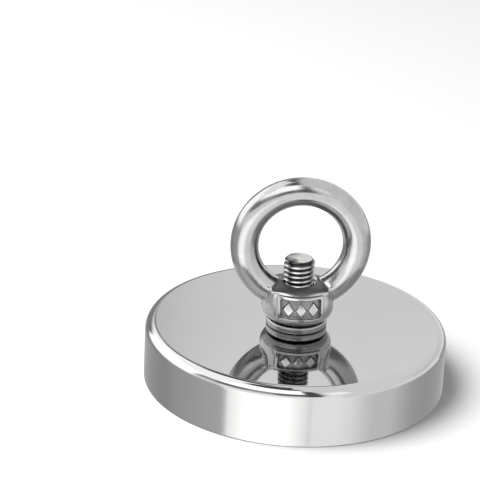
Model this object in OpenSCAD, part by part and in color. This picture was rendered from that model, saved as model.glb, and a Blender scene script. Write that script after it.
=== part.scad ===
// Magnet fishing magnet: a round pot magnet with a lifting eye nut on a threaded stud.
// The working face is the plane z = 0, the stud runs up along +Z,
// and the ring of the eye nut stands in the XZ plane. Millimetres.

/* [Pot] */
// Outer diameter of the steel cup
pot_d = 90; // [80:1:110]
// Height of the steel cup
pot_h = 18; // [17:0.5:22]
// Radius of the rounded edge round the top of the cup
pot_edge_r = 3.2; // [1:0.1:5]
// Thickness of the cup's side wall
pot_wall = 6; // [4:0.5:8]
// Thickness of the cup's floor, which closes the magnetic circuit at the top
pot_floor = 6; // [5:0.5:7]

/* [Magnet insert] */
// Width of the epoxy-filled gap between the magnet and the cup's wall
outer_gap = 2; // [1:0.1:3]
// Width of the epoxy-filled gap between the magnet and the centre bush
inner_gap = 1.5; // [1:0.1:2.5]
// Diameter of the centre bush
bush_d = 22; // [21:0.5:26]
// How far the magnet's face lies behind the working face
magnet_recess = 0.5; // [0.2:0.1:1]
// How far the epoxy lies behind the working face
epoxy_recess = 0.3; // [0.1:0.1:1]

/* [Screw] */
// Outer radius of the M10 thread
thread_r = 4.95; // [4.9:0.01:4.98]
// Pitch of the M10 thread
pitch = 1.5; // [1.25:0.25:1.5]
// Height of the stud's free end above the working face
stud_end_z = 39.4; // [37:0.1:42]
// Radius of the countersunk head
head_r = 9.2; // [8.8:0.1:9.6]
// Width across the flats of the hex socket
socket_af = 6; // [5:0.5:6]
// Depth of the hex socket
socket_depth = 5; // [4:0.5:6]

/* [Lock washer] */
// Outer diameter of the spring lock washer
washer_d = 18.1; // [16:0.1:18.1]
// Thickness of the spring lock washer
washer_t = 2.2; // [1.8:0.1:2.5]
// Direction of the washer's split, seen from above
split_angle = 38; // [0:1:90]

/* [Eye nut] */
// Inner diameter of the ring
ring_id = 25; // [23:0.5:26]
// Diameter of the ring's round section
ring_section_d = 8.3; // [7:0.1:9]
// Height of the ring's centre above the nut's lower face
ring_rise = 23.35; // [23:0.05:24]
// Largest diameter of the barrel-shaped collar
collar_d = 21.4; // [21:0.1:23]
// Height of the collar at the crown between the ring's legs
collar_h = 12.8; // [12:0.1:13.5]
// Width of the raised panel on the collar
panel_w = 13.8; // [11:0.1:14]
// Height of the raised panel on the collar
panel_h = 7.1; // [6:0.1:7.4]

/* [Hidden] */
$fn = 96;

over = 1;                                     // how far a cutter runs past a face
pot_r = pot_d / 2;
cavity_r = pot_r - pot_wall;
cavity_h = pot_h - pot_floor;                 // the insert fills the cup from z = 0 to here
bush_r = bush_d / 2;
magnet_inner_r = bush_r + inner_gap;
magnet_outer_r = cavity_r - outer_gap;
bush_recess = 0.1;
foot_edge_r = 0.4;                            // small rounding round the cup's rim

clearance_r = 5.25;                           // M10 clearance hole through bush and cup
head_recess = 0.3;
head_land = 0.5;                              // short straight edge of the countersunk head
head_cone_h = head_r - thread_r;              // the head's cone is 90 degrees
head_gap = 0.2;                               // ring-shaped gap round the head

crest_flat = pitch / 8;
root_flat = pitch / 4;
thread_depth = 0.6134 * pitch;
thread_start_z = pot_h + 1.4;
stud_chamfer = 0.9;
thread_turns = floor((stud_end_z - stud_chamfer - thread_start_z) / pitch);

washer_r = washer_d / 2;
washer_bore_r = 5.1;
split_gap = 1.3;
split_slope = 25;                             // the split leans like a screw thread

collar_z = pot_h + washer_t;
crown_z = collar_z + collar_h;
ring_z = collar_z + ring_rise;
section_r = ring_section_d / 2;
ring_r = ring_id / 2 + section_r;
collar_r = collar_d / 2;
barrel_foot_arc_r = 3.9;                      // radius of the collar's side below its widest place
barrel_side_arc_r = 10.5;                     // and above it
barrel_mid_z = collar_z + 3.6;                // height of the collar's widest place
crown_r = 14.6;                               // the collar's top is rounded about the X axis
shoulder_arc_r = 19;                          // radius of the shoulders' slightly bulging front
shoulder_front = 7.9;                         // how far they reach to the front and to the back
shoulder_half_w = 8.6;
shoulder_foot_z = collar_z + 5.8;
nut_bore_r = thread_r + 0.05;
bore_chamfer = 0.6;

panel_mid_z = collar_z + 6.3;
panel_rim = 0.9;                              // width of the panel's raised frame
panel_proud = 0.25;
panel_sunk = 0.45;
mark_w = 3.2;                                 // one lozenge across
mark_h = 4.2;                                 // and from tip to tip
mark_spacing = 3.7;

// A flat ring from radius inner to radius outer, between two heights, with bevelled edges
module bevelled_ring(inner, outer, low, high, bevel) {
    rotate_extrude()
        polygon([
            [inner + bevel, low], [outer - bevel, low], [outer, low + bevel],
            [outer, high - bevel], [outer - bevel, high], [inner + bevel, high],
            [inner, high - bevel], [inner, low + bevel]
        ]);
}

// Drawn steel cup, open downwards, with the stud's clearance hole in its floor
module pot_cup() {
    color("gainsboro")
        rotate_extrude()
            difference() {
                union() {
                    translate([clearance_r, foot_edge_r])
                        square([pot_r - clearance_r, pot_h - pot_edge_r - foot_edge_r]);
                    translate([clearance_r, 0])
                        square([pot_r - clearance_r - foot_edge_r, pot_h - pot_edge_r]);
                    translate([clearance_r, 0])
                        square([pot_r - clearance_r - pot_edge_r, pot_h]);
                    translate([pot_r - pot_edge_r, pot_h - pot_edge_r])
                        circle(pot_edge_r);
                    translate([pot_r - foot_edge_r, foot_edge_r])
                        circle(foot_edge_r);
                }
                translate([0, -over])
                    square([cavity_r, cavity_h + over]);
            }
}

// Sintered ring magnet
module ring_magnet() {
    color("dimgray")
        bevelled_ring(magnet_inner_r, magnet_outer_r, magnet_recess, cavity_h, 0.4);
}

// Epoxy between the magnet and the cup's wall
module outer_potting_ring() {
    color("black")
        bevelled_ring(magnet_outer_r, cavity_r, epoxy_recess, cavity_h, 0.05);
}

// Epoxy between the magnet and the bush
module inner_potting_ring() {
    color("black")
        bevelled_ring(bush_r, magnet_inner_r, epoxy_recess, cavity_h, 0.05);
}

// Centre pole of the magnet, countersunk for the screw's head
module centre_bush() {
    cone_z = head_recess + head_land;
    color("silver")
        rotate_extrude()
            polygon([
                [head_r + head_gap, bush_recess], [bush_r, bush_recess],
                [bush_r, cavity_h], [clearance_r, cavity_h],
                [clearance_r, cone_z + head_r - clearance_r],
                [head_r, cone_z], [head_r + head_gap, cone_z]
            ]);
}

// Outline points of the threaded length: one flat crest and one flat root per turn
function thread_outline() = [
    for (turn = [0 : thread_turns - 1])
        let (z = thread_start_z + turn * pitch)
            for (step = [
                [thread_r, 0],
                [thread_r, crest_flat],
                [thread_r - thread_depth, (pitch + crest_flat - root_flat) / 2],
                [thread_r - thread_depth, (pitch + crest_flat + root_flat) / 2]
            ])
                [step[0], z + step[1]]
];

// Countersunk screw, head down, whose free end is the stud that the eye nut is on
module countersunk_screw() {
    cone_z = head_recess + head_land;
    color("lightgray")
        difference() {
            rotate_extrude()
                polygon(concat(
                    [
                        [0, head_recess], [head_r, head_recess], [head_r, cone_z],
                        [thread_r, cone_z + head_cone_h]
                    ],
                    thread_outline(),
                    [
                        [thread_r, thread_start_z + thread_turns * pitch],
                        [thread_r, stud_end_z - stud_chamfer],
                        [thread_r - stud_chamfer, stud_end_z], [0, stud_end_z]
                    ]
                ));
            translate([0, 0, head_recess - over])
                cylinder(d = socket_af / cos(30), h = socket_depth + over, $fn = 6);
        }
}

// Split spring washer, squeezed flat under the nut
module lock_washer() {
    color("darkgray")
        translate([0, 0, pot_h])
            difference() {
                cylinder(r = washer_r, h = washer_t);
                translate([0, 0, -over])
                    cylinder(r = washer_bore_r, h = washer_t + 2 * over);
                rotate([0, 0, split_angle])
                    translate([washer_r / 2, 0, washer_t / 2])
                        rotate([split_slope, 0, 0])
                            cube([washer_r + over, split_gap, 4 * washer_t], center = true);
            }
}

// The collar's barrel shape, swollen or shrunk by grow at its side only
module barrel(grow = 0) {
    foot_h = barrel_mid_z - collar_z;
    foot_core_r = collar_r - barrel_foot_arc_r;
    translate([0, 0, collar_z])
        rotate_extrude()
            intersection() {
                square([collar_r + over, collar_h]);
                union() {
                    square([foot_core_r, foot_h]);
                    translate([foot_core_r, foot_h])
                        circle(barrel_foot_arc_r + grow);
                    intersection() {
                        translate([collar_r - barrel_side_arc_r, foot_h])
                            circle(barrel_side_arc_r + grow);
                        translate([0, foot_h])
                            square([collar_r + over, collar_h]);
                    }
                }
            }
}

// Upright cylinder whose near side is the shoulders' face at the front (side -1) or at the back (side 1)
module shoulder_face(side) {
    translate([0, side * (shoulder_front - shoulder_arc_r), shoulder_foot_z - over])
        cylinder(r = shoulder_arc_r, h = collar_h);
}

// The collar's squarer upper part between the ring's legs
module shoulders() {
    intersection() {
        translate([-shoulder_half_w, -collar_r, shoulder_foot_z])
            cube([2 * shoulder_half_w, 2 * collar_r, crown_z - shoulder_foot_z]);
        shoulder_face(-1);
        shoulder_face(1);
    }
}

// Barrel and shoulders, rounded over at the top
module collar() {
    intersection() {
        union() {
            barrel();
            shoulders();
        }
        translate([-collar_r - over, 0, crown_z - crown_r])
            rotate([0, 90, 0])
                cylinder(r = crown_r, h = 2 * (collar_r + over));
    }
}

// An upright block of the panel's shape, reaching from inside the collar out past it
module panel_block(width, height) {
    translate([-width / 2, -collar_r - over, panel_mid_z - height / 2])
        cube([width, collar_r, height]);
}

// Frame of the panel on the collar's front: what stands proud of the barrel
module panel_frame() {
    intersection() {
        panel_block(panel_w, panel_h);
        barrel(panel_proud);
    }
}

// Pocket inside the panel's frame
module panel_pocket() {
    difference() {
        panel_block(panel_w - 2 * panel_rim, panel_h - 2 * panel_rim);
        barrel(-panel_sunk);
    }
}

// Row of plain raised lozenges in the panel
module panel_marks() {
    intersection() {
        for (place = [-1 : 1])
            translate([place * mark_spacing, -nut_bore_r - over, panel_mid_z])
                rotate([90, 0, 0])
                    linear_extrude(collar_r)
                        polygon([[mark_w / 2, 0], [0, mark_h / 2], [-mark_w / 2, 0], [0, -mark_h / 2]]);
        barrel(0);
    }
}

// Cast ring with its collar, tapped through for the stud
module eye_nut() {
    color("silver")
        difference() {
            union() {
                difference() {
                    union() {
                        collar();
                        translate([0, 0, ring_z])
                            rotate([90, 0, 0])
                                rotate_extrude()
                                    translate([ring_r, 0])
                                        circle(section_r);
                        panel_frame();
                        rotate([0, 0, 180])
                            panel_frame();
                    }
                    panel_pocket();
                    rotate([0, 0, 180])
                        panel_pocket();
                }
                panel_marks();
            }
            translate([0, 0, collar_z - over])
                cylinder(r = nut_bore_r, h = collar_h + 2 * over);
            translate([0, 0, collar_z])
                cylinder(r1 = nut_bore_r + bore_chamfer, r2 = nut_bore_r, h = bore_chamfer);
        }
}

pot_cup();
ring_magnet();
outer_potting_ring();
inner_potting_ring();
centre_bush();
countersunk_screw();
lock_washer();
eye_nut();
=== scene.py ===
"""Looks of the magnet fishing magnet: a nickel-plated pot magnet with a stainless eye nut on its stud.

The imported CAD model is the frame. Lengths are in metres, in the frame's axes: the working face is z = 0,
the stud runs up along +Z, and the ring of the eye nut stands in the XZ plane.
"""

import math

import bmesh
import bpy
import numpy as np
from mathutils import Matrix, Vector


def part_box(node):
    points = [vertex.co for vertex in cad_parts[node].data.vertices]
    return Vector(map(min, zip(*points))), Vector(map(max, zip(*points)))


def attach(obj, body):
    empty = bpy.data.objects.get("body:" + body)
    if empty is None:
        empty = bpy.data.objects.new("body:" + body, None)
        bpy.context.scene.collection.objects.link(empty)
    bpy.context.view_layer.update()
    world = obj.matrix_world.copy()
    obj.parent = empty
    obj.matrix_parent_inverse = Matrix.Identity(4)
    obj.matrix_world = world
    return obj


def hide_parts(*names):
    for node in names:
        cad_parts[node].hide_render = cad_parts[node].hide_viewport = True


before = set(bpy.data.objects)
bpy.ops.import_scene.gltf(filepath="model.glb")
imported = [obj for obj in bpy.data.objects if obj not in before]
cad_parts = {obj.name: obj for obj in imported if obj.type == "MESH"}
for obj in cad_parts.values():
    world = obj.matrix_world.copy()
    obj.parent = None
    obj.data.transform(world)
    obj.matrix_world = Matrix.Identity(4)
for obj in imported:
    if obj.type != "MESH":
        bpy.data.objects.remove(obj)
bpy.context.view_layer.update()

MM = 0.001
ROUND = 192  # points round a turned piece, a multiple of 6 so that the hex socket's corners land on points

# ------------------------------------------------------------------------------------------ sizes

pot_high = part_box("pot_cup")[1]
magnet_low, magnet_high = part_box("ring_magnet")
outer_low, outer_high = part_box("outer_potting_ring")
inner_low, inner_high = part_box("inner_potting_ring")
bush_low, bush_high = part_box("centre_bush")
screw_low, screw_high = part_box("countersunk_screw")
washer_low, washer_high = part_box("lock_washer")
nut_low, nut_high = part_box("eye_nut")

POT_R = pot_high.x
POT_TOP = pot_high.z
POT_EDGE = 3.2 * MM
FOOT_EDGE = 0.4 * MM
CAVITY_R = outer_high.x
CAVITY_TOP = magnet_high.z
MAGNET_R = magnet_high.x
MAGNET_HOLE_R = inner_high.x
BUSH_R = bush_high.x
CLEARANCE_R = 5.25 * MM

PITCH = 1.5 * MM
CREST_R = 4.64 * MM
ROOT_R = 3.82 * MM
HEAD_R = screw_high.x
HEAD_FACE = screw_low.z
HEAD_LAND = 0.5 * MM
STUD_END = screw_high.z
DOME = 0.32 * MM
SOCKET_HALF = 3.0 * MM
SOCKET_DEPTH = 5.0 * MM

WASHER_R = washer_high.x
WASHER_BORE_R = 5.1 * MM
WASHER_LOW = washer_low.z
WASHER_TOP = washer_high.z
SPLIT_ANGLE = math.radians(38)
SPLIT_GAP = 1.3 * MM
SPLIT_SLANT = math.radians(25)

COLLAR_LOW = nut_low.z
COLLAR_TOP = COLLAR_LOW + 12.8 * MM
SECTION_R = 4.15 * MM
RING_R = nut_high.x - SECTION_R
RING_Z = nut_high.z - nut_high.x
BORE_R = 5.0 * MM

# ------------------------------------------------------------------------------------------ meshes


def new_object(name, points, faces, smooth_angle=None):
    """A mesh object from points and faces, shaded smooth up to smooth_angle degrees."""
    mesh = bpy.data.meshes.new(name)
    mesh.from_pydata([tuple(p) for p in points], [], [tuple(f) for f in faces])
    mesh.validate()
    obj = bpy.data.objects.new(name, mesh)
    bpy.context.scene.collection.objects.link(obj)
    work = bmesh.new()
    work.from_mesh(mesh)
    bmesh.ops.remove_doubles(work, verts=work.verts, dist=1e-7)
    bmesh.ops.dissolve_degenerate(work, edges=work.edges, dist=1e-7)
    bmesh.ops.recalc_face_normals(work, faces=work.faces)
    work.to_mesh(mesh)
    work.free()
    mesh.shade_smooth()
    if smooth_angle is not None:
        mesh.set_sharp_from_angle(angle=math.radians(smooth_angle))
    return obj


def circle_ring(radius, z, count=ROUND):
    """Points of a level circle about the Z axis."""
    turn = np.arange(count) * 2 * math.pi / count
    return np.stack([radius * np.cos(turn), radius * np.sin(turn), np.full(count, z)], 1)


def hex_ring(half, z, count=ROUND):
    """Points of a level hexagon, half its width across the flats from the axis, with a corner on +X."""
    turn = np.arange(count) * 2 * math.pi / count
    sector = math.pi / 3
    off_flat = np.mod(turn, sector) - sector / 2
    radius = half / np.cos(off_flat)
    return np.stack([radius * np.cos(turn), radius * np.sin(turn), np.full(count, z)], 1)


def merged(*parts):
    """Several (points, faces) parts as one."""
    points = []
    faces = []
    for part_points, part_faces in parts:
        start = len(points)
        points.extend(part_points)
        faces.extend(tuple(start + corner for corner in face) for face in part_faces)
    return points, faces


def skin(rings, loop=False, close_start=False, close_end=False):
    """Points and faces of a surface through rings of equal count."""
    count = len(rings[0])
    points = [tuple(p) for ring in rings for p in ring]
    faces = []
    for i in range(len(rings) if loop else len(rings) - 1):
        here, there = i * count, (i + 1) % len(rings) * count
        for j in range(count):
            k = (j + 1) % count
            faces.append((here + j, here + k, there + k, there + j))
    for wanted, start in ((close_start, 0), (close_end, (len(rings) - 1) * count)):
        if wanted:
            centre = len(points)
            points.append(tuple(np.mean(points[start:start + count], axis=0)))
            faces.extend((start + j, start + (j + 1) % count, centre) for j in range(count))
    return points, faces


def arc(centre_r, centre_z, radius, start, end, steps=12):
    """Outline points (r, z) on an arc, from start to end in degrees anticlockwise from the +r direction."""
    angles = np.radians(np.linspace(start, end, steps + 1))
    return [(centre_r + radius * math.cos(a), centre_z + radius * math.sin(a)) for a in angles]


def lathe(name, outline, smooth_angle=30):
    """A turned piece with a hole: a closed outline of (r, z) points spun round the Z axis."""
    return new_object(name, *skin([circle_ring(r, z) for r, z in outline], loop=True), smooth_angle)


# ------------------------------------------------------------------------------------------ pieces


def make_cup():
    """The drawn steel cup. Short support rings beside each rounding keep the flat faces' normals flat."""
    near = 0.06 * MM
    lip = 0.25 * MM
    outline = [
        (CLEARANCE_R, CAVITY_TOP), (CAVITY_R - near, CAVITY_TOP), (CAVITY_R, CAVITY_TOP - near),
        (CAVITY_R, lip + near), (CAVITY_R, lip), (CAVITY_R + lip, 0), (CAVITY_R + lip + near, 0),
        (POT_R - FOOT_EDGE - near, 0)
    ]
    outline += arc(POT_R - FOOT_EDGE, FOOT_EDGE, FOOT_EDGE, -90, 0, 6)
    outline += [(POT_R, FOOT_EDGE + near), (POT_R, POT_TOP - POT_EDGE - near)]
    outline += arc(POT_R - POT_EDGE, POT_TOP - POT_EDGE, POT_EDGE, 0, 90, 24)
    outline += [
        (POT_R - POT_EDGE - near, POT_TOP), (CLEARANCE_R + lip + near, POT_TOP),
        (CLEARANCE_R + lip, POT_TOP), (CLEARANCE_R, POT_TOP - lip)
    ]
    return lathe("cup_shell", outline)


def make_magnet():
    """The sintered ring, ground flat, with a small chamfer on each edge."""
    bevel = 0.45 * MM
    near = 0.05 * MM
    low, high = magnet_low.z, magnet_high.z
    hole_r = MAGNET_HOLE_R
    return lathe("magnet_ring", [
        (hole_r, low + bevel), (hole_r + bevel, low), (hole_r + bevel + near, low),
        (MAGNET_R - bevel - near, low), (MAGNET_R - bevel, low), (MAGNET_R, low + bevel),
        (MAGNET_R, high), (hole_r, high)
    ])


def make_potting(name, inner, outer, low, high):
    """Poured resin between two walls: it climbs both walls a little and sinks in the middle."""
    sag = 0.35 * MM
    across = 14
    outline = []
    for i in range(across + 1):
        share = i / across
        outline.append((inner + (outer - inner) * share, low + sag * (1 - (2 * share - 1) ** 2)))
    outline += [(outer, high), (inner, high)]
    return lathe(name, outline, 50)


def make_bush():
    """The centre pole, countersunk for the screw's head."""
    lip = 0.3 * MM
    near = 0.05 * MM
    head_gap = 0.2 * MM
    mouth = 0.15 * MM
    low, high = bush_low.z, bush_high.z
    seat_z = HEAD_FACE + HEAD_LAND
    return lathe("pole_bush", [
        (HEAD_R + head_gap, seat_z), (HEAD_R + head_gap, low + mouth), (HEAD_R + head_gap + mouth, low),
        (BUSH_R - lip - near, low), (BUSH_R - lip, low), (BUSH_R, low + lip),
        (BUSH_R, high), (CLEARANCE_R, high),
        (CLEARANCE_R, seat_z + HEAD_R - CLEARANCE_R), (HEAD_R, seat_z)
    ])


def thread_rows(z_low, z_high, end_r):
    """Points and faces of a right-hand helical thread between two heights.

    Each row follows the helix, so that crests and roots are clean lines. Rows that would pass an end
    stop on it, on a circle of radius end_r, and the thread tapers to that circle at 45 degrees.
    """
    count = ROUND
    worn, fillet, dip = 0.03 * MM, 0.09 * MM, 0.01 * MM
    profile = [  # share of a pitch, radius
        (0.00, CREST_R - worn), (0.03, CREST_R), (0.12, CREST_R), (0.15, CREST_R - worn),
        (0.42, ROOT_R + fillet), (0.48, ROOT_R + dip), (0.55, ROOT_R), (0.62, ROOT_R + dip),
        (0.68, ROOT_R + fillet)
    ]
    turns = math.ceil((z_high - z_low) / PITCH) + 2
    rows = [((turn + share) * PITCH, radius) for turn in range(turns) for share, radius in profile]
    across = np.arange(count) / count
    points = []
    for rise, radius in rows:
        z = np.clip(z_low - PITCH + rise + across * PITCH, z_low, z_high)
        limit = end_r + np.minimum(z - z_low, z_high - z)
        r = np.minimum(radius, limit)
        turn = across * 2 * math.pi
        points.extend(zip(r * np.cos(turn), r * np.sin(turn), z))
    faces = []
    for row in range(len(rows) - 1):
        for j in range(count):
            here, there = row * count + j, (row + 1) * count + j
            if j < count - 1:
                faces.append((here, here + 1, there + 1, there))
            elif row + 1 + len(profile) < len(rows):
                next_turn = (row + len(profile)) * count
                faces.append((here, next_turn, next_turn + count, there))
    return points, faces


def make_screw():
    """Countersunk hex-socket screw, head down: socket, head, threaded shank and domed stud end."""
    lip = 0.15 * MM
    near = 0.05 * MM
    point_r, point_depth = 0.3 * MM, 1.3 * MM  # the drill's cone, beyond the hexagon
    drill_r, drill_depth = 2.4 * MM, 0.2 * MM
    mouth_r, mouth_depth = 3.75 * MM, 0.4 * MM
    socket_top = HEAD_FACE + SOCKET_DEPTH
    seat_z = HEAD_FACE + HEAD_LAND
    shank_z = seat_z + HEAD_R - CREST_R
    end_r = ROOT_R - 0.02 * MM
    head = skin([
        circle_ring(point_r, socket_top + point_depth),
        circle_ring(drill_r, socket_top + drill_depth),
        hex_ring(SOCKET_HALF, socket_top),
        hex_ring(SOCKET_HALF, HEAD_FACE + mouth_depth),
        circle_ring(mouth_r, HEAD_FACE),
        circle_ring(mouth_r + near, HEAD_FACE),
        circle_ring(HEAD_R - lip - near, HEAD_FACE),
        circle_ring(HEAD_R - lip, HEAD_FACE),
        circle_ring(HEAD_R, HEAD_FACE + lip),
        circle_ring(HEAD_R, seat_z),
        circle_ring(CREST_R, shank_z),
        circle_ring(end_r, shank_z + CREST_R - end_r)
    ], close_start=True)
    thread = thread_rows(shank_z + CREST_R - end_r, STUD_END - DOME, end_r)
    tip_shares = (1, 0.97, 0.85, 0.7, 0.55, 0.4, 0.25, 0.1)
    tip = skin(
        [circle_ring(share * end_r, STUD_END - DOME * share ** 2) for share in tip_shares], close_end=True
    )
    return new_object("socket_screw", *merged(head, thread, tip), 28)


def make_washer():
    """Split spring washer: a rounded rectangular bar swept round, its two ends cut on a slant."""
    steps = 150
    corner = 0.5 * MM
    rise = 0.08 * MM
    half_w = (WASHER_R - WASHER_BORE_R) / 2
    half_h = (WASHER_TOP - WASHER_LOW - rise) / 2
    mid_r = (WASHER_R + WASHER_BORE_R) / 2
    mid_z = (WASHER_TOP + WASHER_LOW) / 2
    slant = math.tan(SPLIT_SLANT)
    section = []
    for centre_x, centre_y, start in (
        (half_w - corner, half_h - corner, 0), (corner - half_w, half_h - corner, 90),
        (corner - half_w, corner - half_h, 180), (half_w - corner, corner - half_h, 270)
    ):
        section += arc(centre_x, centre_y, corner, start, start + 90, 4)
    section = np.array(section)
    gap_turn = SPLIT_GAP / 2 / mid_r
    rings = []
    stations = [(0, 0.9), (0.0012, 1.0)]  # share of the way round, size of the section
    stations += [(i / steps, 1.0) for i in range(1, steps)]
    stations += [(0.9988, 1.0), (1, 0.9)]
    for share, swell in stations:
        turn = SPLIT_ANGLE + gap_turn + share * (2 * math.pi - 2 * gap_turn)
        across, up = section[:, 0] * swell, section[:, 1] * swell
        radius = mid_r + across
        turn_here = turn - slant * up / radius
        z = mid_z + up + rise * (share - 0.5)
        rings.append(np.stack([radius * np.cos(turn_here), radius * np.sin(turn_here), z], 1))
    return new_object("spring_washer", *skin(rings, close_start=True, close_end=True), 40)


# ------------------------------------------------------------------------------------------ eye nut
# The nut is one casting whose ring flows into its collar. Its shape is a distance field in millimetres,
# negative inside, and its mesh is the field's zero surface.

PANEL_RISE = 6.3  # the panel's middle above the collar's foot
FRAME_HEIGHT = 0.42
FLOOR_DEPTH = 0.9
MARK_SPACING = 3.7
MARK_HALF_W = 1.6
MARK_HALF_H = 2.15
MARK_HEIGHT = 0.7


def smooth_min(a, b, width):
    """The lesser of two distances, blended where they differ by less than width."""
    share = np.clip(0.5 + 0.5 * (b - a) / width, 0, 1)
    return b + (a - b) * share - width * share * (1 - share)


def smooth_max(a, b, width):
    """The greater of two distances, blended where they differ by less than width."""
    return -smooth_min(-a, -b, width)


def smooth_step(value, low, high):
    """0 below low, 1 above high, and an even curve between."""
    share = np.clip((value - low) / (high - low), 0, 1)
    return share * share * (3 - 2 * share)


def rounded_box(x, z, half_w, half_h, corner):
    """Distance to a flat rectangle with rounded corners."""
    over_x = np.abs(x) - half_w + corner
    over_z = np.abs(z) - half_h + corner
    outside = np.hypot(np.maximum(over_x, 0), np.maximum(over_z, 0))
    return outside + np.minimum(np.maximum(over_x, over_z), 0) - corner


def panel_frame(x, z):
    """Distance to the outline of the panel's raised frame, about the panel's middle."""
    return rounded_box(x, z, 6.9, 3.55, 0.8)


def panel_floor(x, z):
    """Distance to the outline of the panel's sunk floor, about the panel's middle."""
    return rounded_box(x, z, 5.95, 2.7, 0.4)


def panel_relief(x, z, marks):
    """Height of the cast panel above the collar's barrel: a raised frame, a sunk floor, three lozenges."""
    soft = 0.3
    to_distance = 1.28  # turns a lozenge's own measure into about a distance from its sides
    height = FRAME_HEIGHT * smooth_step(-panel_frame(x, z), -soft / 2, soft / 2)
    height = height - FLOOR_DEPTH * smooth_step(-panel_floor(x, z), -soft / 2, soft / 2)
    for place in (-MARK_SPACING, 0, MARK_SPACING):
        lozenge = (np.abs(x - place) / MARK_HALF_W + np.abs(z) / MARK_HALF_H - 1) * to_distance
        height = height + marks * MARK_HEIGHT * smooth_step(-lozenge, -soft / 2, soft / 2)
    return height


def crown_height(x, y):
    """Height of the collar's domed top between the ring's legs."""
    crown_r = 14.6
    return COLLAR_TOP / MM - crown_r + np.sqrt(np.maximum(crown_r ** 2 - y ** 2 - 0.5 * x ** 2, 1))


def nut_field(p):
    """About the signed distance from points p, in millimetres, to the eye nut's surface."""
    x, y, z = p[..., 0], p[..., 1], p[..., 2]
    low = COLLAR_LOW / MM
    crown = crown_height(x, y)
    across = np.hypot(x, y) + 1e-6
    # collar: a barrel with an undercut foot, and squarer shoulders between the ring's legs;
    # beyond its end each of the barrel's arcs runs on upright
    widest_r, widest_z = 10.7, low + 3.9
    foot_arc, side_arc, undercut = 3.8, 10.5, 1.0
    below = widest_r - foot_arc + np.sqrt(np.maximum(foot_arc ** 2 - (z - widest_z) ** 2, 0.5))
    above = widest_r - side_arc + np.sqrt(np.maximum(side_arc ** 2 - (z - widest_z) ** 2, 4.0))
    barrel = across - np.where(z < widest_z, below, above) + undercut * smooth_step(low - z, -0.9, -0.5)
    shoulder_arc, shoulder_front, shoulder_half, shoulder_foot = 19, 7.9, 8.7, low + 5
    shoulders = np.hypot(x, np.abs(y) + shoulder_arc - shoulder_front) - shoulder_arc
    shoulders = smooth_max(shoulders, np.abs(x) - shoulder_half, 1.0)
    shoulders = smooth_max(shoulders, shoulder_foot - z, 1.0)
    barrel = smooth_min(barrel, shoulders, 0.9)
    relief = panel_relief(x, z - (low + PANEL_RISE), y < 0)
    barrel = barrel - relief * smooth_step(np.abs(y), 2.5, 4.5)
    barrel = smooth_max(barrel, z - crown, 0.7)
    barrel = smooth_max(barrel, low - z, 0.3)
    # ring, whose blend into the collar widens upwards and away from the stud
    round_y = np.hypot(x, z - RING_Z / MM)
    ring = np.hypot(round_y - RING_R / MM, y) - SECTION_R / MM
    flow = smooth_step(z, low + 6.5, low + 11) * smooth_step(np.abs(x), 6, 13)
    body = smooth_min(barrel, ring, 0.6 + 2.4 * flow)
    # hole with a helical groove, and a chamfer at each end
    groove_depth, top_chamfer, foot_chamfer, widest_chamfer = 0.5, 0.5, 0.6, 0.9
    phase = np.mod(z / (PITCH / MM) - np.arctan2(y, x) / (2 * math.pi), 1.0)
    groove = groove_depth * smooth_step(np.abs(phase - 0.5), 0.42, 0.1)
    chamfer = np.maximum(0, top_chamfer - (crown - z)) + np.maximum(0, foot_chamfer - (z - low))
    hole = across - (BORE_R / MM + np.maximum(groove, np.minimum(chamfer, widest_chamfer)))
    hole = np.maximum(hole, z - RING_Z / MM)
    return smooth_max(body, -hole, 0.12)


def field_gradient(field, p, step=0.02):
    """Slope of the field at each point, by central differences."""
    slope = np.empty_like(p)
    for axis in range(3):
        shift = np.zeros(3)
        shift[axis] = step
        slope[:, axis] = (field(p + shift) - field(p - shift)) / (2 * step)
    return slope


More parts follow.
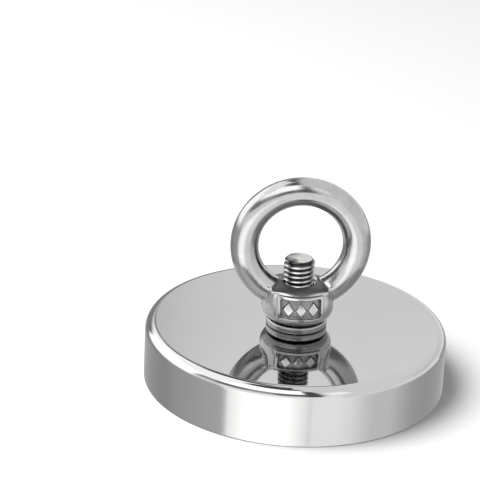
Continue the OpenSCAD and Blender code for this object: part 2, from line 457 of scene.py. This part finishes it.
def zero_surface(field, low, high, step):
    """Points and quads of the field's zero surface: one point for each grid cell that it crosses."""
    axes = [np.arange(low[i], high[i] + step, step) for i in range(3)]
    size = [len(a) for a in axes]
    values = np.empty(size, np.float32)
    for i, x in enumerate(axes[0]):
        y, z = np.meshgrid(axes[1], axes[2], indexing="ij")
        values[i] = field(np.stack([np.full_like(y, x), y, z], -1))
    inside = values < 0
    corners = [(i, j, k) for i in (0, 1) for j in (0, 1) for k in (0, 1)]

    def at(grid, corner):
        return grid[tuple(slice(c, c + size[axis] - 1) for axis, c in enumerate(corner))]

    filled = sum(at(inside, c).astype(np.int8) for c in corners)
    cells = np.argwhere((filled > 0) & (filled < 8))
    number = np.full(filled.shape, -1, np.int64)
    number[tuple(cells.T)] = np.arange(len(cells))
    total = np.zeros((len(cells), 3))
    crossings = np.zeros(len(cells))
    for a in corners:
        for axis in range(3):
            if a[axis]:
                continue
            b = tuple(1 if i == axis else a[i] for i in range(3))
            value_a = values[tuple((cells + a).T)]
            value_b = values[tuple((cells + b).T)]
            crosses = (value_a < 0) != (value_b < 0)
            share = np.where(crosses, value_a / np.where(crosses, value_a - value_b, 1), 0)
            place = np.array(a, float) + np.outer(share, np.eye(3)[axis])
            total += place * crosses[:, None]
            crossings += crosses
    points = np.array(low) + (cells + total / crossings[:, None]) * step
    quads = []
    for axis in range(3):
        u, v = (axis + 1) % 3, (axis + 2) % 3
        start = [slice(None)] * 3
        start[axis] = slice(0, size[axis] - 1)
        end = [slice(None)] * 3
        end[axis] = slice(1, size[axis])
        first, second = inside[tuple(start)], inside[tuple(end)]
        edges = np.argwhere(first != second)
        leaving = first[tuple(edges.T)]
        around = []
        for back_u, back_v in ((1, 1), (0, 1), (0, 0), (1, 0)):
            cell = edges.copy()
            cell[:, u] -= back_u
            cell[:, v] -= back_v
            around.append(number[tuple(cell.T)])
        quad = np.stack(around, 1)
        quad[~leaving] = quad[~leaving][:, ::-1]
        quads.append(quad)
    return points, np.concatenate(quads)


def make_eye_nut():
    """The casting's mesh. Points slide onto the exact surface, and its slope gives the shading normals."""
    margin = 0.6
    cell = 0.22
    low = np.array(nut_low) / MM - margin
    high = np.array(nut_high) / MM + margin
    points, quads = zero_surface(nut_field, low, high, cell)
    for _ in range(4):
        slope = field_gradient(nut_field, points)
        steepness = np.maximum((slope ** 2).sum(1), 0.05)
        points = points - slope * np.clip(nut_field(points) / steepness, -0.1, 0.1)[:, None]
    slope = field_gradient(nut_field, points, 0.04)
    normals = slope / np.maximum(np.linalg.norm(slope, axis=1), 1e-6)[:, None]
    mesh = bpy.data.meshes.new("eye_casting")
    mesh.from_pydata([tuple(p) for p in points * MM], [], [tuple(int(c) for c in q) for q in quads])
    mesh.shade_smooth()
    mesh.normals_split_custom_set_from_vertices([tuple(n) for n in normals])
    x, y, z = points[:, 0], points[:, 1], points[:, 2]
    panel_z = z - (COLLAR_LOW / MM + PANEL_RISE)
    on_face = smooth_step(np.abs(y), 5.5, 7.0)
    relief = panel_relief(x, panel_z, y < 0) * on_face
    in_panel = smooth_step(-relief, 0.05, 0.35)
    framed = smooth_step(-panel_frame(x, panel_z), -0.1, 0.2)
    rubbed = framed * (1 - in_panel) * on_face
    # the crown's mask darkens its top in the material: a dull cast top, darkened further by painted shade
    near_crown = smooth_step(0.5 - np.abs(z - crown_height(x, y)), 0, 0.3)
    on_crown = smooth_step(normals[:, 2], 0.66, 0.8) * near_crown
    masks = {"cast_floor": in_panel, "dull_shaded_crown": on_crown * (np.abs(x) < 9), "rubbed_high": rubbed}
    for name, values in masks.items():
        layer = mesh.attributes.new(name, "FLOAT", "POINT")
        layer.data.foreach_set("value", values.astype(np.float32))
    obj = bpy.data.objects.new("eye_casting", mesh)
    bpy.context.scene.collection.objects.link(obj)
    return obj


# ------------------------------------------------------------------------------------------ materials


class Nodes:
    """A short way to write a material's or the world's node tree."""

    def __init__(self, tree):
        self.tree = tree
        tree.nodes.clear()

    def add(self, kind, **settings):
        """A node with its settings, where a name such as in_0 or in_Scale sets or links an input."""
        node = self.tree.nodes.new(kind)
        for name, value in settings.items():
            if name.startswith("in_"):
                key = name[3:].replace("_", " ")
                socket = node.inputs[int(key)] if key.isdigit() else node.inputs[key]
                if isinstance(value, bpy.types.NodeSocket):
                    self.tree.links.new(value, socket)
                else:
                    socket.default_value = value
            else:
                setattr(node, name, value)
        return node

    def math(self, operation, *values):
        """A maths node's result."""
        inputs = {f"in_{i}": value for i, value in enumerate(values)}
        return self.add("ShaderNodeMath", operation=operation, **inputs).outputs[0]

    def ramp(self, value, from_low, from_high, to_low, to_high, kind="LINEAR"):
        """A value mapped from one range to another, and held at its ends."""
        return self.add(
            "ShaderNodeMapRange", interpolation_type=kind, in_Value=value, in_From_Min=from_low,
            in_From_Max=from_high, in_To_Min=to_low, in_To_Max=to_high
        ).outputs[0]

    def noise(self, where, scale, detail=3.0, roughness=0.55):
        """Noise between 0 and 1 at a place."""
        return self.add(
            "ShaderNodeTexNoise", in_Vector=where, in_Scale=scale, in_Detail=detail, in_Roughness=roughness
        ).outputs[0]

    def mix(self, share, a, b):
        """A colour between two colours."""
        node = self.add("ShaderNodeMix", data_type="RGBA", in_0=share)
        for value, socket in ((a, node.inputs[6]), (b, node.inputs[7])):
            if isinstance(value, bpy.types.NodeSocket):
                self.tree.links.new(value, socket)
            else:
                socket.default_value = (*value, 1)
        return node.outputs[2]


def stretched(nodes, place, x, y, z):
    """A place scaled by a different amount along each axis."""
    return nodes.add("ShaderNodeMapping", in_Vector=place, in_Scale=(x, y, z)).outputs[0]


def metal(name, dark, light, rough_low, rough_high, build):
    """A metal whose tone and roughness vary over it.

    build(nodes, place) gives (tone 0..1, roughness 0..1, height in metres), all as sockets.
    """
    material = bpy.data.materials.new(name)
    material.use_nodes = True
    nodes = Nodes(material.node_tree)
    place = nodes.add("ShaderNodeTexCoord").outputs["Object"]
    tone, rough, height = build(nodes, place)
    bump = nodes.add("ShaderNodeBump", in_Strength=1.0, in_Distance=1.0, in_Height=height)
    shader = nodes.add(
        "ShaderNodeBsdfPrincipled", in_Metallic=1.0, in_Base_Color=nodes.mix(tone, dark, light),
        in_Roughness=nodes.ramp(rough, 0, 1, rough_low, rough_high), in_Normal=bump.outputs[0]
    )
    nodes.add("ShaderNodeOutputMaterial", in_Surface=shader.outputs[0])
    return material


def scratches(nodes, place, scale, direction):
    """Fine straight scratches, 0 to 1: noise drawn out along one direction."""
    turned = nodes.add("ShaderNodeMapping", in_Vector=place, in_Rotation=direction).outputs[0]
    fine = nodes.noise(stretched(nodes, turned, scale, scale * 0.02, scale), 1.0, 2.0)
    return nodes.ramp(fine, 0.62, 0.72, 0, 1)


def polar(nodes, place):
    """Radius, turn and height of a place about the Z axis."""
    parts = nodes.add("ShaderNodeSeparateXYZ", in_0=place)
    radius = nodes.math("SQRT", nodes.math(
        "ADD", nodes.math("POWER", parts.outputs[0], 2), nodes.math("POWER", parts.outputs[1], 2)
    ))
    return radius, nodes.math("ARCTAN2", parts.outputs[1], parts.outputs[0]), parts.outputs[2]


def nickel(nodes, place):
    """Bright plating: polishing haze in patches, a few hairline scratches and very shallow ripples."""
    haze = nodes.noise(place, 55, 4)
    marks = nodes.math(
        "MAXIMUM", scratches(nodes, place, 2600, (0.2, 0.1, 0.5)),
        scratches(nodes, place, 2100, (0.5, 0, -0.9))
    )
    rough = nodes.math("ADD", nodes.math("MULTIPLY", haze, 0.7), nodes.math("MULTIPLY", marks, 0.22))
    ripple = nodes.math("MULTIPLY", nodes.noise(place, 38, 1), 2.2e-5)
    grain = nodes.math("MULTIPLY", nodes.noise(place, 9000, 2), 1.2e-7)
    groove = nodes.math("MULTIPLY", marks, -1.5e-7)
    height = nodes.math("ADD", nodes.math("ADD", ripple, grain), groove)
    return nodes.noise(place, 30, 3), rough, height


def stainless(nodes, place):
    """Tumbled and polished casting: satin with soft dents.

    The panel's floor has a coarse cast skin, its frame and marks are rubbed brighter, the crown is dull and
    darkened further by painted shade, and the foot has turned lines.
    """
    cast = nodes.add("ShaderNodeAttribute", attribute_name="cast_floor").outputs["Fac"]
    flat = nodes.add("ShaderNodeAttribute", attribute_name="dull_shaded_crown").outputs["Fac"]
    rubbed = nodes.add("ShaderNodeAttribute", attribute_name="rubbed_high").outputs["Fac"]
    height_z = nodes.add("ShaderNodeSeparateXYZ", in_0=place).outputs[2]
    collar = nodes.ramp(height_z, COLLAR_TOP + 5 * MM, COLLAR_TOP - 2 * MM, 0, 1)
    turned_foot = nodes.ramp(height_z, COLLAR_LOW + 2.5 * MM, COLLAR_LOW + 1.9 * MM, 0, 1)
    lay_pitch = 0.7 * MM
    wave = nodes.math("SINE", nodes.math("MULTIPLY", height_z, 2 * math.pi / lay_pitch))
    lay = nodes.ramp(wave, -1, 1, 0, 1)
    patches = nodes.noise(place, 260, 4, 0.6)
    marks = scratches(nodes, place, 2400, (0.4, 0.3, 0.2))
    rough = nodes.math("MULTIPLY", patches, 0.4)
    for mask, share in ((marks, 0.2), (collar, 0.2), (cast, 0.5), (flat, 0.3), (rubbed, -0.1)):
        rough = nodes.math("ADD", rough, nodes.math("MULTIPLY", mask, share))
    dents = nodes.math("MULTIPLY", nodes.noise(place, 230, 2), 3.0e-5)
    skin_grain = nodes.math("MULTIPLY", nodes.noise(place, 3200, 3), nodes.ramp(cast, 0, 1, 4e-7, 2.5e-5))
    crown_grain = nodes.math("MULTIPLY", nodes.math("MULTIPLY", nodes.noise(place, 1500, 4), flat), 1.2e-5)
    height = nodes.math("ADD", nodes.math("ADD", dents, skin_grain), crown_grain)
    worn = nodes.math("ADD", nodes.math("MULTIPLY", patches, 0.3), nodes.math("MULTIPLY", rubbed, 0.06))
    # darkens the cast floor's skin, and the crown, which is dull and partly painted shade under the ring
    dull = nodes.math("ADD", nodes.math("MULTIPLY", cast, 0.35), nodes.math("MULTIPLY", flat, 0.68))
    worn = nodes.math("ADD", worn, nodes.math("MULTIPLY", turned_foot, nodes.math("MULTIPLY", lay, 0.45)))
    tone = nodes.math("SUBTRACT", nodes.math("ADD", nodes.ramp(collar, 0, 1, 0.36, 0.46), worn), dull)
    return tone, rough, height


def rolled_thread(nodes, place):
    """Rolled thread: bright worn crests, a smooth bright end face, and painted shade on flanks and roots."""
    radius, turn, z = polar(nodes, place)
    # flanks and roots get the dark colour as painted shade and painted dark reflection
    crest = nodes.ramp(radius, ROOT_R + 0.3 * MM, CREST_R - 0.08 * MM, 0, 1)
    end_face = nodes.math(
        "MINIMUM", nodes.ramp(z, STUD_END - DOME - 0.2 * MM, STUD_END - DOME - 0.1 * MM, 0, 1),
        nodes.ramp(radius, ROOT_R - 0.08 * MM, ROOT_R - 0.14 * MM, 0, 1)
    )
    bright = nodes.math("MAXIMUM", crest, end_face)
    blotches = nodes.noise(place, 900, 4)
    along = nodes.add("ShaderNodeCombineXYZ", in_0=nodes.math("MULTIPLY", turn, 40), in_1=z, in_2=radius)
    streaks = nodes.noise(along.outputs[0], 0.7, 3)
    rough = nodes.math("ADD", nodes.math("MULTIPLY", blotches, 0.5), nodes.math("MULTIPLY", streaks, 0.4))
    rough = nodes.math("MULTIPLY", rough, nodes.ramp(end_face, 0, 1, 1, 0.2))
    tone = nodes.math("MULTIPLY", bright, nodes.ramp(blotches, 0.3, 0.7, 0.8, 1))
    return tone, rough, nodes.math("MULTIPLY", nodes.noise(place, 2500, 3), 1.5e-6)


def sprung_steel(nodes, place):
    """Drawn bar: fine lines round the washer, and slightly pitted faces."""
    radius, _turn, z = polar(nodes, place)
    fineness = 9000
    along = nodes.add(
        "ShaderNodeCombineXYZ", in_0=nodes.math("MULTIPLY", radius, fineness),
        in_1=nodes.math("MULTIPLY", z, fineness)
    )
    lines = nodes.noise(along.outputs[0], 1.0, 3)
    pits = nodes.noise(place, 2200, 4, 0.7)
    rough = nodes.math("ADD", nodes.math("MULTIPLY", lines, 0.5), nodes.math("MULTIPLY", pits, 0.5))
    height = nodes.math("ADD", nodes.math("MULTIPLY", lines, 1.6e-6), nodes.math("MULTIPLY", pits, 3e-6))
    return pits, rough, height


def ground_magnet(nodes, place):
    """Ground sintered magnet under dull plating: straight grinding lines and faint darker stains."""
    lines = nodes.noise(stretched(nodes, place, 260, 6000, 260), 1.0, 3)
    stains = nodes.noise(place, 90, 5, 0.65)
    rough = nodes.math("ADD", nodes.math("MULTIPLY", lines, 0.5), nodes.math("MULTIPLY", stains, 0.5))
    return stains, rough, nodes.math("MULTIPLY", lines, 1.5e-6)


def make_resin():
    """Black potting resin: glossy skin with small dust specks and pores."""
    material = bpy.data.materials.new("potting_resin")
    material.use_nodes = True
    nodes = Nodes(material.node_tree)
    place = nodes.add("ShaderNodeTexCoord").outputs["Object"]
    specks = nodes.ramp(nodes.noise(place, 3500, 2), 0.66, 0.72, 0, 1)
    waves = nodes.noise(place, 420, 3)
    height = nodes.math("SUBTRACT", nodes.math("MULTIPLY", waves, 5e-5), nodes.math("MULTIPLY", specks, 2e-5))
    bump = nodes.add("ShaderNodeBump", in_Strength=1.0, in_Distance=1.0, in_Height=height)
    colour = nodes.mix(specks, (0.012, 0.012, 0.014), (0.09, 0.088, 0.085))
    shader = nodes.add(
        "ShaderNodeBsdfPrincipled", in_Base_Color=colour, in_Normal=bump.outputs[0],
        in_Roughness=nodes.ramp(waves, 0.3, 0.7, 0.28, 0.5)
    )
    nodes.add("ShaderNodeOutputMaterial", in_Surface=shader.outputs[0])
    return material


# ------------------------------------------------------------------------------------------ assembly

MATERIALS = {
    "nickel": metal("bright_nickel", (0.335, 0.334, 0.332), (0.375, 0.373, 0.370), 0.025, 0.085, nickel),
    "stainless": metal("satin_stainless", (0.085, 0.085, 0.087), (0.50, 0.498, 0.495), 0.10, 0.46, stainless),
    # the thread's dark colour is painted shade on its flanks and roots
    "thread": metal("rolled_thread", (0.04, 0.04, 0.04), (0.44, 0.435, 0.425), 0.10, 0.32, rolled_thread),
    "washer": metal("spring_steel", (0.20, 0.20, 0.20), (0.33, 0.33, 0.327), 0.20, 0.42, sprung_steel),
    "magnet": metal("magnet_plating", (0.20, 0.20, 0.205), (0.32, 0.32, 0.325), 0.22, 0.42, ground_magnet),
    "resin": make_resin()
}


def place_piece(piece, body, node, material):
    """Puts a finished piece on its body, in place of its CAD node."""
    piece.data.materials.clear()
    piece.data.materials.append(MATERIALS[material])
    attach(piece, body)
    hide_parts(node)


place_piece(make_cup(), "magnet_pot", "pot_cup", "nickel")
place_piece(make_magnet(), "magnet_pot", "ring_magnet", "magnet")
place_piece(
    make_potting("outer_potting", MAGNET_R, CAVITY_R, outer_low.z, outer_high.z),
    "magnet_pot", "outer_potting_ring", "resin"
)
place_piece(
    make_potting("inner_potting", BUSH_R, MAGNET_HOLE_R, inner_low.z, inner_high.z),
    "magnet_pot", "inner_potting_ring", "resin"
)
place_piece(make_bush(), "magnet_pot", "centre_bush", "nickel")
place_piece(make_screw(), "magnet_pot", "countersunk_screw", "thread")
place_piece(make_washer(), "lock_washer", "lock_washer", "washer")
place_piece(make_eye_nut(), "eye_nut", "eye_nut", "stainless")

# ------------------------------------------------------------------------------------------ camera

CAMERA_DISTANCE = 0.7
CAMERA_TURN = math.radians(7.15)  # left of the ring's own front
CAMERA_RISE = math.radians(26.44)
CAMERA_ROLL = math.radians(2.71)
AIM = Vector((-0.0180, 0, 0.0446))
LENS_MM = 173.7
SENSOR_MM = 36

camera_data = bpy.data.cameras.new("camera")
camera_data.sensor_width = SENSOR_MM
camera_data.lens = LENS_MM
camera = bpy.data.objects.new("camera", camera_data)
bpy.context.scene.collection.objects.link(camera)
bpy.context.scene.camera = camera
camera.location = CAMERA_DISTANCE * Vector((
    -math.cos(CAMERA_RISE) * math.sin(CAMERA_TURN),
    -math.cos(CAMERA_RISE) * math.cos(CAMERA_TURN),
    math.sin(CAMERA_RISE)
))
looking = (AIM - camera.location).to_track_quat("-Z", "Y").to_matrix()
camera.rotation_euler = (looking @ Matrix.Rotation(CAMERA_ROLL, 3, "Z")).to_euler()

# ------------------------------------------------------------------------------------------ studio


def make_floor():
    """A plain grey floor that the light turns white. It is hidden from reflections, so the metal mirrors
    the studio's cards instead of it.
    """
    half = 1.2
    gap = 0.02 * MM  # keeps the floor's face off the object's
    floor = new_object(
        "floor", [(-half, -half, 0), (half, -half, 0), (half, half, 0), (-half, half, 0)], [(0, 1, 2, 3)]
    )
    floor.location.z = -gap
    material = bpy.data.materials.new("floor_paper")
    material.use_nodes = True
    shader = material.node_tree.nodes["Principled BSDF"]
    shader.inputs["Base Color"].default_value = (0.212, 0.212, 0.212, 1)
    shader.inputs["Roughness"].default_value = 1.0
    shader.inputs["Specular IOR Level"].default_value = 0.0
    floor.data.materials.append(material)
    floor.visible_glossy = False


def make_studio():
    """Soft boxes and dark cards round the object, as patches on the sky.

    An azimuth of 0 is toward the camera and rises to the right. Angles are in degrees.
    """
    world = bpy.data.worlds.new("studio")
    bpy.context.scene.world = world
    world.use_nodes = True
    nodes = Nodes(world.node_tree)
    direction = nodes.add("ShaderNodeTexCoord").outputs["Generated"]
    turned = nodes.add(
        "ShaderNodeVectorRotate", rotation_type="Z_AXIS", in_Vector=direction, in_Angle=CAMERA_TURN
    )
    parts = nodes.add("ShaderNodeSeparateXYZ", in_0=turned.outputs[0])
    toward = nodes.math("MULTIPLY", parts.outputs[1], -1)
    azimuth = nodes.math("ARCTAN2", parts.outputs[0], toward)
    rise = nodes.math("ARCSINE", parts.outputs[2])

    def wall_tone():
        """The low ring of cards: dark on the left, white in front, and greyer round to the right."""
        colours = nodes.add("ShaderNodeValToRGB", in_0=nodes.ramp(azimuth, -math.pi, math.pi, 0, 1))
        stops = [  # azimuth, tone
            (-180, 0.33), (-160, 0.36), (-134, 0.39), (-121, 0.385), (-110, 0.41), (-102, 0.48),
            (-75, 0.57), (-60, 0.61), (-55, 0.65), (-51.5, 0.88), (-48.5, 1.45), (-38, 1.8),
            (-28, 2.1), (-8, 2.1), (1, 1.75), (5, 1.6), (11, 1.37), (14, 1.2),
            (17, 1.33), (34, 1.32), (46, 1.2), (57, 0.98), (65, 0.86), (80, 0.84),
            (90, 0.7), (104, 0.53), (120, 0.45), (147, 0.4), (180, 0.33)
        ]
        elements = colours.color_ramp.elements
        for degrees, _tone in stops[1:-1]:
            elements.new((degrees + 180) / 360)
        for element, (_degrees, tone) in zip(elements, stops):
            element.color = (tone, tone, tone, 1)
        return colours.outputs[0]

    def patch(under, centre, half_width, low, high, soft, tone):
        """Lays one card over what is under it."""
        turn = nodes.math("SUBTRACT", azimuth, math.radians(centre))
        off = nodes.math("ABSOLUTE", nodes.math("WRAP", turn, math.pi, -math.pi))
        across = math.radians(half_width)
        foot = math.radians(low)
        head = math.radians(high)
        edge = math.radians(soft) / 2
        in_width = nodes.ramp(off, across + edge, across - edge, 0, 1, "SMOOTHSTEP")
        over_foot = nodes.ramp(rise, foot - edge, foot + edge, 0, 1, "SMOOTHSTEP")
        under_head = nodes.ramp(rise, head + edge, head - edge, 0, 1, "SMOOTHSTEP")
        share = nodes.math("MULTIPLY", nodes.math("MULTIPLY", in_width, over_foot), under_head)
        return nodes.mix(share, under, (tone, tone, tone))

    above_wall = nodes.ramp(rise, math.radians(-6), math.radians(2), 0, 1, "SMOOTHSTEP")
    sky = nodes.mix(above_wall, wall_tone(), (1.05, 1.05, 1.055))
    cards = [  # centre, half width, foot, head, softness of the edges, tone; a later card lies on top
        (180, 80, 8, 36, 8, 0.93),  # backdrop behind the object
        (145, 42, 8, 36, 14, 1.02),
        (180, 80, 8, 25.2, 5, 0.9),
        (85, 48, -11, 9, 6, 1.08),  # low white card on the right
        (-112, 50, 24, 74, 8, 1.6),  # soft box on the left
        (-112, 34, 2, 42, 10, 2.0),
        (-159, 20, -14, 19, 8, 0.28),  # dark card behind on the left, and the flags above it
        (-171, 4.2, 22, 31, 7, 0.35),
        (-170, 8, 32, 50, 4, 0.2),
        (-163, 8, 48, 70, 5, 0.07),
        (-8, 45, -2, 18, 6, 1.3),  # white card in front
        (-26, 37, 39, 86, 6, 2.2),  # soft box high in front
        (-30, 48, 18, 36, 5, 0.5),  # grey and dark flags between the two
        (-47, 13, 18, 34, 6, 0.25),
        (2, 14, 16, 34, 8, 0.2),
        (38, 9, 26, 52, 6, 1.5),  # narrow light on the right
        (17, 6.5, 12, 66, 6, 0.12),  # narrow flag beside it
        (-80, 100, 73, 95, 5, 0.1)  # dark card overhead
    ]
    for card in cards:
        sky = patch(sky, *card)
    background = nodes.add("ShaderNodeBackground", in_Color=sky, in_Strength=1.55)
    nodes.add("ShaderNodeOutputWorld", in_Surface=background.outputs[0])


def make_key_light():
    """A large soft light from the left, for the floor's shadow. It is hidden from reflections too."""
    light = bpy.data.lights.new("key_light", "AREA")
    light.shape = "DISK"
    light.size = 0.8
    light.energy = 48.0
    lamp = bpy.data.objects.new("key_light", light)
    bpy.context.scene.collection.objects.link(lamp)
    lamp.location = (-0.5, -0.08, 0.86)
    lamp.rotation_euler = (-lamp.location).to_track_quat("-Z", "Y").to_euler()
    lamp.visible_glossy = False


make_floor()
make_studio()
make_key_light()
bpy.context.scene.view_settings.view_transform = "Standard"
